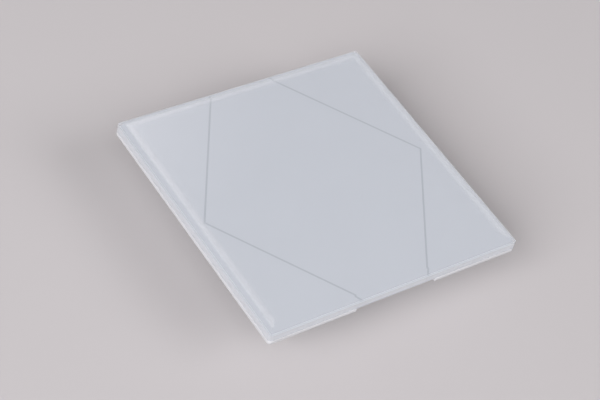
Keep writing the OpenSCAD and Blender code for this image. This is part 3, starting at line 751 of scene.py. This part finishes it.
def wound_wire(place):
    """Enamelled copper with faint clouds in its lacquer."""
    cloud = place.noise(LACQUER_CLOUD)
    return {"Base Color": cloud.mix(srgb(150, 78, 44), srgb(190, 108, 62)), "Roughness": 0.3 + 0.15 * cloud}


plastic("ochre_plastic", srgb(206, 158, 52), srgb(220, 174, 66), 0.35)
plastic("navy_sleeve", srgb(34, 38, 62), srgb(44, 50, 78), 0.25, grain=0.002 * MM)
plastic("ferrite", srgb(52, 50, 48), srgb(66, 63, 60), 0.55, grain=0.012 * MM)
plastic("blue_coating", srgb(28, 66, 142), srgb(40, 84, 164), 0.3, grain=0.01 * MM)
plastic("black_plastic", srgb(34, 34, 36), srgb(46, 46, 48), 0.5)
finish("copper_winding", wound_wire, {"Metallic": 0.9})
potting = [(POTTING_INSET, 0), (POTTING_INSET + POTTING_SLOPE, POTTING_SLOPE),
           (POTTING_INSET + 2 * POTTING_SLOPE, POTTING_DEPTH)]
potted_box = moulded_box("film_capacitor", edge_arc(POTTED_EASE), edge_arc(POTTED_RIM_EASE)[::-1] + potting)
show_solids("potted_box", [potted_box], "film_capacitor", "ochre_plastic")
sleeved_can = turned_in("smoothing_capacitor", can_profile)
show_solids("sleeved_can", [sleeved_can], "smoothing_capacitor", "navy_sleeve")
drum_low, drum_high, drum_middle = place_of("converter_inductor")
drum_wire = wound(DRUM_WINDING_RADIUS, DRUM_CORE_RADIUS, DRUM_WIRE, drum_low.z + DRUM_FLANGE,
                  drum_high.z - DRUM_FLANGE)
drum_winding = placed(drum_wire, drum_middle.x, drum_middle.y)
show_solids("drum_core", [turned_in("converter_inductor", drum_profile)], "converter_inductor", "ferrite")
show_solids("drum_winding", [drum_winding], "converter_inductor", "copper_winding")
show_solids("dipped_disc", [dipped_solid("varistor")], "varistor", "blue_coating")
show_solids("chip_body", [chip_body("converter_chip", SUPPLY_CHIP)], "converter_chip", "black_plastic")
show_solids("chip_legs", chip_legs("converter_chip", SUPPLY_CHIP), "converter_chip", "zinc_steel")
fuse_seam = [(inset * FUSE_SEAM_DEPTH, FUSE_SEAM_DROP + drop * FUSE_SEAM_HALF)
             for inset, drop in [(0, 2), (1, 1), (1, -1), (0, -2)]]
fuse_foot = [(0, FUSE_FOOT_EASE), (FUSE_FOOT_EASE, 0)]
fuse_box = moulded_box("fuse", edge_arc(FUSE_EASE), fuse_seam + fuse_foot)
show_solids("fuse_box", [fuse_box], "fuse", "black_plastic")

# Relay
# A coil on an iron yoke pulls a hinged armature, whose bronze leaf presses its contact on the fixed one.
# A blue floor and a thin blue case close it in.
COIL_WIRE = 0.2 * MM
BOBBIN_RADIUS = 1.7 * MM
BOBBIN_BORE = 1.25 * MM
CHEEK_THICKNESS = 0.6 * MM
CHEEK_RIM = 0.3 * MM
CHEEK_EASE = 0.1 * MM
BASE_EASE = 0.1 * MM
BASE_STEP = 0.25 * MM
BASE_STEP_DROP = 0.4 * MM
BASE_STEP_EASE = 0.05 * MM
CASE_EASE = 0.12 * MM
IRON_EASE = 0.06 * MM
LEAF_EASE = 0.03 * MM
BLADE_EASE = 0.04 * MM
IRON_CLOUD = 1.2 * MM


def ground_iron(place):
    """Soft iron with a matt grey skin."""
    cloud = place.noise(IRON_CLOUD, detail=4.0)
    grey = cloud.mix(srgb(150, 151, 153), srgb(184, 185, 187))
    return {"Base Color": grey, "Roughness": 0.35 + 0.15 * cloud}


def bobbin_profile(radius, low, high):
    """One turn round a bobbin's section: two cheeks with eased rims, the drum between them, and the bore."""
    cheek = [(BOBBIN_BORE, 0), (radius - CHEEK_EASE, 0), (radius, CHEEK_EASE),
             (radius, CHEEK_THICKNESS - CHEEK_EASE), (radius - CHEEK_EASE, CHEEK_THICKNESS),
             (BOBBIN_RADIUS, CHEEK_THICKNESS)]
    return [(r, low + z) for r, z in cheek] + [(r, high - z) for r, z in cheek[::-1]]


def laid(solid, y, z):
    """A solid about Z laid along X: its own Z becomes X, about an axis at this place."""
    return placed((solid[0][:, [2, 0, 1]], solid[1]), 0, y, z)


plastic("relay_blue", srgb(32, 58, 118), srgb(40, 70, 136), 0.3)
finish("soft_iron", ground_iron, METAL)
base_rim = [(0, BASE_STEP_DROP), (BASE_STEP, BASE_STEP_DROP - BASE_STEP_EASE),
            (BASE_STEP + BASE_STEP_EASE, BASE_STEP_EASE), (BASE_STEP + 2 * BASE_STEP_EASE, 0)]
relay_floor = moulded_box("relay_base", [(BASE_EASE, 0), (0, BASE_EASE)], base_rim)
coil_low, coil_high, coil_middle = place_of("relay_coil")
cheek_radius = coil_high.z - coil_middle.z
bobbin = band(revolved(bobbin_profile(cheek_radius, coil_low.x, coil_high.x)))
coil_wire = wound(cheek_radius - CHEEK_RIM, BOBBIN_RADIUS, COIL_WIRE, coil_low.x + CHEEK_THICKNESS,
                  coil_high.x - CHEEK_THICKNESS)
show_solids("relay_floor", [relay_floor], "relay_base", "relay_blue")
show_eased("relay_case", "relay_cover", CASE_EASE, "relay_blue")
show_solids("coil_bobbin", [laid(bobbin, coil_middle.y, coil_middle.z)], "relay_coil", "black_plastic")
show_solids("wound_coil", [laid(coil_wire, coil_middle.y, coil_middle.z)], "relay_coil", "copper_winding")
show_eased("iron_yoke", "relay_yoke", IRON_EASE, "soft_iron")
show_eased("hinged_armature", "relay_armature", IRON_EASE, "soft_iron")
show_eased("bronze_leaf", "contact_leaf", LEAF_EASE, "contact_bronze")
show_eased("bronze_blade", "fixed_contact", BLADE_EASE, "contact_bronze")

# Board connector
# Gilt pins in a black strip on the main board plug into a black socket under the sensor board. The pins
# are drawn wire with tapered ends.
PIN_COUNT = 8
PIN_PITCH = 2.54 * MM
PIN_TAPER = 0.5 * MM
PIN_EASE = 0.05 * MM
PIN_ROUND_SHARE = 0.1
PIN_TIP_SHARE = 0.3
CONNECTOR_EASE = 0.08 * MM
GILT_CLOUD = 0.8 * MM


def gilt_wire(place):
    """Gilt brass with fine lines from the drawing die."""
    cloud = place.noise(GILT_CLOUD, detail=3.0)
    lines = place.stretched(1, 1, DRAWN_OUT).noise(DRAWN_LINE)
    return {
        "Base Color": cloud.mix(srgb(208, 172, 94), srgb(228, 198, 126)),
        "Roughness": 0.2 + 0.14 * lines,
        "Height": lines * DRAWN_HEIGHT,
    }


finish("gilt_brass", gilt_wire, METAL)
show_eased("pin_strip", "header_strip", CONNECTOR_EASE, "black_plastic")
show_eased("pin_socket", "header_socket", CONNECTOR_EASE, "black_plastic")
pins_low, pins_high, pins_middle = place_of("header_pins")
pin_radius = pins_high.y - pins_middle.y
pin = turned([((1 - PIN_ROUND_SHARE) * pin_radius, pins_low.z), (pin_radius, pins_low.z + PIN_EASE),
              (pin_radius, pins_high.z - PIN_TAPER),
              ((PIN_TIP_SHARE + PIN_ROUND_SHARE) * pin_radius, pins_high.z - PIN_EASE),
              (PIN_TIP_SHARE * pin_radius, pins_high.z)])
pins = [placed(pin, (i - (PIN_COUNT - 1) / 2) * PIN_PITCH, pins_middle.y) for i in range(PIN_COUNT)]
show_solids("gilt_pins", pins, "header_pins", "gilt_brass")

# Carrier
# The white moulded tray behind the glass. Its thin flange shows under the glass all round, with a notch in
# the bottom edge for a tool, and four countersunk screws hold the cup to it.
TRAY_EASE = 0.15 * MM
EAR_HEAD_RADIUS = 2.2 * MM
EAR_HEAD_HEIGHT = 1.1 * MM
EAR_THREAD_RADIUS = 1.1 * MM
EAR_CROSS_WIDTH = 0.6 * MM
EAR_CROSS_LENGTH = 3.0 * MM
EAR_CROSS_DEPTH = 0.6 * MM
plastic("white_plastic", srgb(201, 200, 204), srgb(206, 205, 209), 0.38)
show_eased("tray_moulding", "carrier", TRAY_EASE, "white_plastic")
ear_low, ear_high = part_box("housing_screws")
ear_rim = EAR_HEAD_RADIUS - HEAD_EASE
ear_head = [(ear_rim, ear_low.z), (ear_rim, ear_low.z + HEAD_EASE)]
ear_thread = thread_rings(EAR_THREAD_RADIUS, TAPPING_PITCH, ear_low.z + EAR_HEAD_HEIGHT, ear_high.z)
ear_screw = screw_solid(ear_head, ear_thread, cross_cut(EAR_CROSS_WIDTH, EAR_CROSS_LENGTH, EAR_CROSS_DEPTH))
ear_x = ear_high.x - EAR_HEAD_RADIUS
ear_screws = [placed(ear_screw, x, y) for x in (-ear_x, ear_x) for y in (-ear_x, ear_x)]
show_solids("ear_screws", ear_screws, "housing_screws", "zinc_steel")

# Sensor board
# A thin green board with bare copper touch pads towards the glass, and with the touch chip, the sounder
# and the socket on its back. The chip stands on eight tinned legs a side.
SOUND_HOLE_RADIUS = 1 * MM
SOUND_HOLE_DEPTH = 1.1 * MM
SOUNDER_EASE = 0.3 * MM
SOUNDER_GROOVE = 0.15 * MM
PAD_TARNISH_SIZE = 4 * MM
BRUSHED_LINE = 0.1 * MM
TOUCH_CHIP = SimpleNamespace(
    slope=0.2 * MM, seam_rise=0.4 * MM, seam_drop=0.42 * MM, top_slope=0.1 * MM, top_ease=0.02 * MM,
    stand_off=0.08 * MM, root=0.1 * MM, knee=0.3 * MM, heel=0.45 * MM, toe=1.0 * MM, foot_drop=0.08 * MM,
    leg_width=0.32 * MM, leg_thickness=0.13 * MM, leg_pitch=0.8 * MM, legs=8, sides=(0, 90, 180, 270))


def etched_copper(place):
    """Bare copper with clouds of tarnish and fine brushing."""
    cloud = place.noise(PAD_TARNISH_SIZE, detail=4.0)
    lines = place.stretched(DRAWN_OUT, 1, 1).noise(BRUSHED_LINE)
    copper = cloud.mix(srgb(186, 112, 76), srgb(216, 142, 102))
    return {"Base Color": copper, "Roughness": 0.28 + 0.2 * lines}


def sounder_profile(radius, low, high):
    """The side of the sounder from the floor of its sound hole, round its face and up to the board, with the
    seam between its cap and its base."""
    hole = [(SOUND_HOLE_RADIUS, low + SOUND_HOLE_DEPTH), (SOUND_HOLE_RADIUS, low + SOUNDER_GROOVE),
            (SOUND_HOLE_RADIUS + SOUNDER_GROOVE, low)]
    edge = [(radius - inset, low + rise) for inset, rise in edge_arc(SOUNDER_EASE)]
    seam = [(radius - SOUNDER_GROOVE * inset, high - SOUNDER_GROOVE * drop)
            for inset, drop in [(0, 5), (1, 4.5), (1, 3.5), (0, 3), (0, 1), (1, 0)]]
    return hole + edge + seam


finish("copper_foil", etched_copper, METAL)
dress("sensor_board", "circuit_board")
dress("corner_electrodes", "copper_foil")
dress("centre_electrode", "copper_foil")
show_solids("touch_chip", [chip_body("touch_controller", TOUCH_CHIP)], "touch_controller", "black_plastic")
show_solids("touch_legs", chip_legs("touch_controller", TOUCH_CHIP), "touch_controller", "zinc_steel")
show_solids("sounder_can", [turned_in("sounder", sounder_profile)], "sounder", "black_plastic")

# Glass plate and its print
# A clear float-glass plate with a ground and polished bevel, bonded to a white printed film. Thin grey lines
# in the print divide the face into a middle zone and four corner zones.
CORNER_RADIUS = 1.2 * MM
BEVEL_WIDTH = 2 * MM
BEVEL_DEPTH = 0.9 * MM
ARRIS = 0.2 * MM
BOND_EASE = 0.03 * MM
PRINT_EASE = 0.02 * MM
PRINT_BOND = 0.02 * MM
PRINT_INSET = 0.1 * MM
LINE_BOND = 0.035 * MM
LINE_WIDTH = 0.55 * MM
LINE_CORNER_INSET = 4.9 * MM
LINE_END_X = 10.7 * MM
LINE_END_INSET = 0.3 * MM
CLEAR = (0.97, 0.985, 0.98, 1.0)
# The pale line along the bevel's inner edge is a painted highlight; the sides carry the real frost of
# grinding.
HIGHLIGHT_LINE_COLOUR = srgb(236, 236, 240)
FROST_SIDE_COLOUR = srgb(199, 195, 198)
HIGHLIGHT_INSET = 2.3 * MM
HIGHLIGHT_OUTER = 1.1 * MM
HIGHLIGHT_INNER = 2.3 * MM
FROST_AND_HIGHLIGHT_GRAIN = 0.12 * MM
HIGHLIGHT_LINE_SHARE = 0.23
FROST_SIDE_SHARE = 0.35
SMEAR_SIZE = 9 * MM
SMEARED_OUT = 0.4
INK_CLOUD = 18 * MM
INK_GRAIN = 0.3 * MM
LINE_GRAIN = 0.2 * MM
BOND_CLOUD = 2 * MM
DULL_INK = {"Specular IOR Level": 0.0}
glass_low, glass_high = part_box("glass_panel")
PLATE_HALF = glass_high.x


def plate_ring(inset):
    """One anticlockwise turn round the plate: a square with rounded corners, this far inside the edge."""
    half = PLATE_HALF - inset
    return round_ring(half, half, max(CORNER_RADIUS - inset, SHARPEST_CORNER))


def bevel_height(outline):
    """The height of the bevel over a point. It falls evenly from the face with the larger coordinate."""
    past = np.abs(outline).max(1) - (PLATE_HALF - BEVEL_WIDTH)
    return glass_high.z - np.clip(past, 0, None) * BEVEL_DEPTH / BEVEL_WIDTH


def glass_rings():
    """The rings of the glass from its back to its face. Each arris is a narrow round between two rings, with
    one more ring on each flat beside it, which keeps the flat's shading even. All steps count in arrises."""
    back = [(3, 0), (1, 0), (0.3, 0.3), (0, 1), (0, 3)]
    rings = [at_height(plate_ring(i * ARRIS), glass_low.z + h * ARRIS) for i, h in back]
    outer = [(i * ARRIS, h) for i, h in [(0, 3), (0, 1), (0.25, 0.35), (1, 0), (3, 0)]]
    inner = [(BEVEL_WIDTH + i * ARRIS, h) for i, h in [(-3, 0), (-1, 0), (0, 0.12), (1, 0), (3, 0)]]
    for inset, drop in outer + inner:
        outline = plate_ring(inset)
        rings.append(at_height(outline, bevel_height(outline) - drop * ARRIS))
    return np.stack(rings)


def sheet_solid(low, high, ease):
    """A thin sheet with the plate's outline and slightly rounded edges."""
    steps = [(ease, low), (0, low + ease), (0, high - ease), (ease, high)]
    return loft(np.stack([at_height(plate_ring(PRINT_INSET + i), h) for i, h in steps]))


def line_solid(side, low, high):
    """One zone line: a chevron from the top edge over the side's middle to the bottom edge. Its outer and
    inner outline are the chevron moved half a line's width to each side."""
    end_y = PLATE_HALF - LINE_END_INSET
    corner_x = PLATE_HALF - LINE_CORNER_INSET
    slant = math.hypot(corner_x - LINE_END_X, PLATE_HALF) / PLATE_HALF
    half = LINE_WIDTH / 2 * slant
    end_x = corner_x - (corner_x - LINE_END_X) * end_y / PLATE_HALF
    outline = side * np.array([[end_x - half, -end_y], [end_x + half, -end_y], [corner_x + half, 0],
                               [end_x + half, end_y], [end_x - half, end_y], [corner_x - half, 0]])
    return loft(np.stack([at_height(outline, low), at_height(outline, high)]))


def edge_inset(place):
    """How far a place lies inside the plate's square outline: half the width less the larger coordinate."""
    x = place.part(0).math("ABSOLUTE")
    y = place.part(1).math("ABSOLUTE")
    return PLATE_HALF - x.math("MAXIMUM", y)


def polished(place):
    """Clear glass with faint wiped smears, which only dull its shine a little. The sides and the outer arris
    are ground and stay dull."""
    smear = place.stretched(1, SMEARED_OUT, 1).noise(SMEAR_SIZE, detail=3.0)
    return {"Roughness": 0.015 + 0.05 * smear + 0.55 * edge_inset(place).below(2 * ARRIS)}


def white_ink(place):
    """White screen print, which has no shine of its own because it is bonded to the glass. Its density varies
    very little, over centimetres and over its fine grain."""
    cloud = place.noise(INK_CLOUD)
    grain = place.noise(INK_GRAIN)
    white = (0.8 * cloud + 0.2 * grain).mix(srgb(194, 197, 206), srgb(197, 200, 209))
    return {"Base Color": white, "Roughness": 0.5 + 0.1 * grain}


def grey_ink(place):
    """Grey line ink with a slight grain."""
    grain = place.noise(LINE_GRAIN, detail=3.0)
    return {"Base Color": grain.mix(srgb(174, 178, 187), srgb(180, 184, 193)), "Roughness": 0.5 + 0.1 * grain}


def milky_sheet(place):
    """Milky bonding sheet with soft clouds."""
    cloud = place.noise(BOND_CLOUD)
    return {"Base Color": cloud.mix(srgb(200, 199, 203), srgb(207, 206, 210)), "Roughness": 0.4 + 0.2 * cloud}


def ground_edge_and_painted_highlight(material):
    """Mixes pale frost into the glass: the frost of fine grinding, a little, on its sides, and a painted
    highlight, a soft pale line where the bevel meets the face, which fades slowly inwards and is left out
    along the bottom edge. The share follows from the distance to the plate's edge and, on the sides, from the
    height."""
    tree = material.node_tree
    place = Value(tree.nodes.new("ShaderNodeTexCoord").outputs["Object"])
    inset = edge_inset(place)
    inwards = (inset - HIGHLIGHT_INSET) * (1 / HIGHLIGHT_INNER)
    away = inwards.math("MAXIMUM", (HIGHLIGHT_INSET - inset) * (1 / HIGHLIGHT_OUTER))
    fade = away.node("MapRange", {"interpolation_type": "SMOOTHSTEP"},
                     {"Value": away, "From Min": 1.0, "From Max": 0.0})
    # The painted highlight is left out along the bottom edge.
    bottom = (place.part(0).math("ABSOLUTE") + place.part(1)).below(0.0)
    painted_highlight = fade * (1 - bottom)
    side = inset.below(2 * ARRIS) * place.part(2).below(glass_high.z - BEVEL_DEPTH - 2 * ARRIS)
    grain = place.noise(FROST_AND_HIGHLIGHT_GRAIN)
    share = (HIGHLIGHT_LINE_SHARE * painted_highlight + FROST_SIDE_SHARE * side) * (0.8 + 0.4 * grain)
    tint = side.mix(HIGHLIGHT_LINE_COLOUR, FROST_SIDE_COLOUR)
    # One dull shader carries both the side frost and the painted highlight line.
    frost = share.node("BsdfPrincipled", {}, {"Base Color": tint, "Roughness": 0.5})
    glass = Value(tree.nodes["Principled BSDF"].outputs[0])
    mixed = share.node("MixShader", {}, {0: share, 1: glass, 2: frost})
    tree.links.new(mixed.socket, tree.nodes["Material Output"].inputs["Surface"])


finish("clear_glass", polished, {"Base Color": CLEAR, "Transmission Weight": 1.0, "IOR": 1.52})
ground_edge_and_painted_highlight(finishes["clear_glass"])
finish("white_print", white_ink, DULL_INK)
finish("zone_ink", grey_ink, DULL_INK)
finish("bonding_sheet", milky_sheet, {})
bond_low, bond_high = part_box("bonding_film")
film_low, film_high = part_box("decor_film")
bond = sheet_solid(bond_low.z, bond_high.z, BOND_EASE)
# The print and its lines reach a hair into the glass, so that no layer of air shines between them.
film = sheet_solid(film_low.z, film_high.z + PRINT_BOND, PRINT_EASE)
lines = [line_solid(side, film_high.z, film_high.z + LINE_BOND) for side in (1, -1)]
show_solids("bond_sheet", [bond], "bonding_film", "bonding_sheet")
show_solids("printed_film", [film], "decor_film", "white_print")
show_solids("line_print", lines, "zone_lines", "zone_ink")
glass_plate = show_solids("bevelled_glass", [loft(glass_rings())], "glass_panel", "clear_glass")
# Light passes the glass on its way to the print without a shadow.
glass_plate.visible_shadow = False
glass_plate.visible_diffuse = False

# Studio
# The switch lies on a pale floor among three large soft lamps: at the left, at the front right and over the
# camera's shoulder. The room is dim and even, the floor throws some light back up, and the glass mirrors a
# pale window.
FLOOR_HALF = 4.0
FLOOR_GAP = 0.05 * MM
FLOOR_COLOUR = srgb(198, 193, 195)
WHITE = (1.0, 1.0, 1.0, 1.0)
ROOM_LIGHT = 0.15
BOUNCE_LIGHT = 0.55
WINDOW_LIGHT = 7.0
WINDOW_TOWARDS = (0.30, 0.66, 0.69)
WINDOW_EDGE = 0.975
CAMERA_PLACE = (-0.27782, -0.27998, 0.42201)
CAMERA_TURN = (42.971, -11.023, -32.693)
CAMERA_LENS = 112.9
SENSOR_WIDTH = 36.0


def seen_directly(tree):
    """1 for rays that come straight from the camera, also by way of a shiny or clear surface, and 0 for rays
    that a dull surface has scattered before."""
    path = tree.nodes.new("ShaderNodeLightPath").outputs
    camera = Value(path["Is Camera Ray"])
    either = camera.math("MAXIMUM", Value(path["Is Glossy Ray"]))
    any_kind = either.math("MAXIMUM", Value(path["Is Transmission Ray"]))
    return any_kind * Value(path["Diffuse Depth"]).below(0.5)


def stand(name, data):
    """A new object in the scene."""
    made = bpy.data.objects.new(name, data)
    bpy.context.scene.collection.objects.link(made)
    return made


floor_corners = np.array([[-1, -1], [1, -1], [1, 1], [-1, 1]]) * FLOOR_HALF
floor_mesh = bpy.data.meshes.new("studio_floor")
floor_mesh.from_pydata(at_height(floor_corners, -FLOOR_GAP), [], [[0, 1, 2, 3]])
stand("studio_floor", floor_mesh)
paper = bpy.data.materials.new("pale_paper")
paper.use_nodes = True
floor_mesh.materials.append(paper)
paper_tree = paper.node_tree
paper_shader = paper_tree.nodes["Principled BSDF"]
for socket, number in {"Base Color": FLOOR_COLOUR, "Roughness": 0.9, "Specular IOR Level": 0.1}.items():
    paper_shader.inputs[socket].default_value = number
behind = Value(paper_tree.nodes.new("ShaderNodeNewGeometry").outputs["Backfacing"])
shown = seen_directly(paper_tree) * (1 - behind)
clear = shown.node("BsdfTransparent", {}, {})
paper_mix = shown.node("MixShader", {}, {0: shown, 1: clear, 2: Value(paper_shader.outputs[0])})
paper_tree.links.new(paper_mix.socket, paper_tree.nodes["Material Output"].inputs["Surface"])

room = bpy.data.worlds.new("pale_room")
bpy.context.scene.world = room
room.use_nodes = True
room_tree = room.node_tree
room_shader = room_tree.nodes["Background"]
seen = seen_directly(room_tree)
room_colour = seen.mix(WHITE, FLOOR_COLOUR)
room_tree.links.new(room_colour.socket, room_shader.inputs["Color"])
direction = Value(room_tree.nodes.new("ShaderNodeTexCoord").outputs["Generated"])
from_below = direction.part(2).below(0.0)
scattered = ROOM_LIGHT + (BOUNCE_LIGHT - ROOM_LIGHT) * from_below
towards = direction.node("VectorMath", {"operation": "DOT_PRODUCT"},
                         {0: direction, 1: WINDOW_TOWARDS}, "Value")
window = ((towards - WINDOW_EDGE) * (1 / (1 - WINDOW_EDGE))).math("MAXIMUM", 0.0)
mirrored = Value(room_tree.nodes.new("ShaderNodeLightPath").outputs["Is Glossy Ray"])
room_level = scattered * (1 - seen) + seen * (1 + WINDOW_LIGHT * window * window * mirrored)
room_tree.links.new(room_level.socket, room_shader.inputs["Strength"])


def soft_lamp(name, place, size, power):
    """A square lamp that faces the switch."""
    light = bpy.data.lights.new(name, "AREA")
    light.shape = "SQUARE"
    light.size = size
    light.energy = power
    lamp = stand(name, light)
    lamp.location = place
    lamp.rotation_mode = "QUATERNION"
    lamp.rotation_quaternion = (-Vector(place)).to_track_quat("-Z", "Y")


soft_lamp("left_lamp", place=(-2.25, -0.88, 1.56), size=1.5, power=65.0)
soft_lamp("right_lamp", place=(1.6, -2.6, 2.3), size=2.1, power=53.0)
soft_lamp("front_lamp", place=(-1.75, -1.8, 2.6), size=2.0, power=53.0)

# The camera was fitted to the plate's four corners in the photograph. Its turn is in degrees.
camera_data = bpy.data.cameras.new("photo_camera")
camera_data.lens = CAMERA_LENS
camera_data.sensor_width = SENSOR_WIDTH
camera = stand("photo_camera", camera_data)
camera.matrix_world = Matrix.LocRotScale(CAMERA_PLACE, Euler(np.radians(CAMERA_TURN)), None)
bpy.context.scene.camera = camera
bpy.context.scene.view_settings.view_transform = "Standard"
